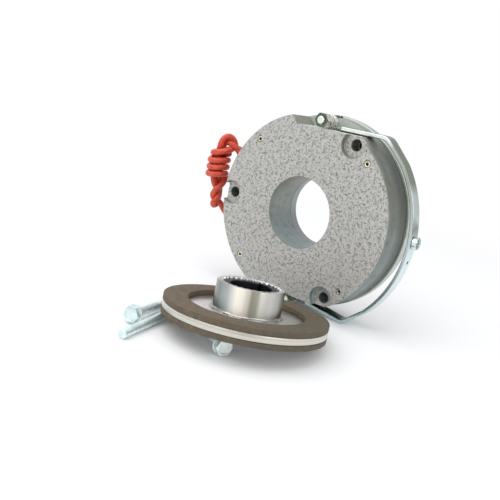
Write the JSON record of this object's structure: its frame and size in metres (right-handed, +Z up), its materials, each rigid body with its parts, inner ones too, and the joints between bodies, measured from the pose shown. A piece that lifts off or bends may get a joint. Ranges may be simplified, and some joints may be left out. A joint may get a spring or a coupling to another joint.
{
  "type": "spring applied brake",
  "caption": "Spring applied electromagnetic disc brake with hand release bail, its rotor, hub, loose screws and lever rod laid beside it.",
  "frame": {"origin": "under the middle of the part's box at floor level, leads left out", "axes": "+Z up, -Y towards the magnet's painted face, the magnet's axis along Y"},
  "size_m": [0.2492, 0.26, 0.194],
  "materials": {
    "hammer_paint": "light grey hammer paint",
    "machined_steel": "machined steel",
    "bright_zinc": "bright zinc plate",
    "yellow_zinc": "yellow zinc plate",
    "dark_steel": "dark oiled steel",
    "turned_aluminium": "turned aluminium",
    "friction_lining": "brown friction lining, standing in for pressed fibre",
    "enamelled_copper": "enamelled copper wire, wound",
    "nylon": "moulded nylon",
    "potting_resin": "black potting resin",
    "rubber": "black rubber",
    "red_silicone": "red silicone"
  },
  "bodies": {
    "magnet": {"magnet_housing": "hammer_paint", "thrust_spring_1": "machined_steel", "thrust_spring_2": "machined_steel", "thrust_spring_3": "machined_steel", "thrust_spring_4": "machined_steel", "thrust_spring_5": "machined_steel", "thrust_spring_6": "machined_steel", "thrust_spring_7": "machined_steel", "thrust_spring_8": "machined_steel", "release_spring_top": "bright_zinc", "release_spring_low": "bright_zinc", "guide_sleeve_1": "bright_zinc", "guide_sleeve_2": "bright_zinc", "guide_sleeve_3": "bright_zinc", "fixing_screw_1": "bright_zinc", "fixing_screw_2": "bright_zinc", "fixing_washer_1": "bright_zinc", "fixing_washer_2": "bright_zinc", "release_lever_rod": "bright_zinc", "set_screw_1": "yellow_zinc", "set_screw_2": "yellow_zinc", "set_screw_3": "yellow_zinc", "set_screw_4": "yellow_zinc", "splined_hub": "dark_steel", "rotor_carrier": "turned_aluminium", "lining_upper": "friction_lining", "lining_lower": "friction_lining", "coil_winding": "enamelled_copper", "coil_bobbin": "nylon", "coil_seal_ring": "potting_resin", "lead_grommet": "rubber", "lead_1": "red_silicone", "lead_2": "red_silicone", "lead_hank": "red_silicone"},
    "release_lever": {"release_bail": "bright_zinc", "lever_boss": "bright_zinc"},
    "armature": {"armature_plate": "machined_steel", "pull_bolt_top": "machined_steel", "pull_bolt_low": "machined_steel", "release_nut_top": "machined_steel", "release_nut_low": "machined_steel"}
  },
  "joints": [
    {"name": "bail_tilt", "type": "hinge", "parent": "magnet", "child": "release_lever", "pos_m": [-0.02, 0.09609, 0.097], "axis": [0, 0, -1], "range_deg": [0, 7], "deforming": ["release_spring_top", "release_spring_low"]},
    {"name": "armature_pull", "type": "slide", "parent": "magnet", "child": "armature", "axis": [0, -1, 0], "range_m": [0, 0.0003], "deforming": ["thrust_spring_1", "thrust_spring_2", "thrust_spring_3", "thrust_spring_4", "thrust_spring_5", "thrust_spring_6", "thrust_spring_7", "thrust_spring_8", "release_spring_top", "release_spring_low"]}
  ],
  "couplings": [
    {"joint": "armature_pull", "follows": "bail_tilt", "m_per_rad": 0.00245}
  ]
}
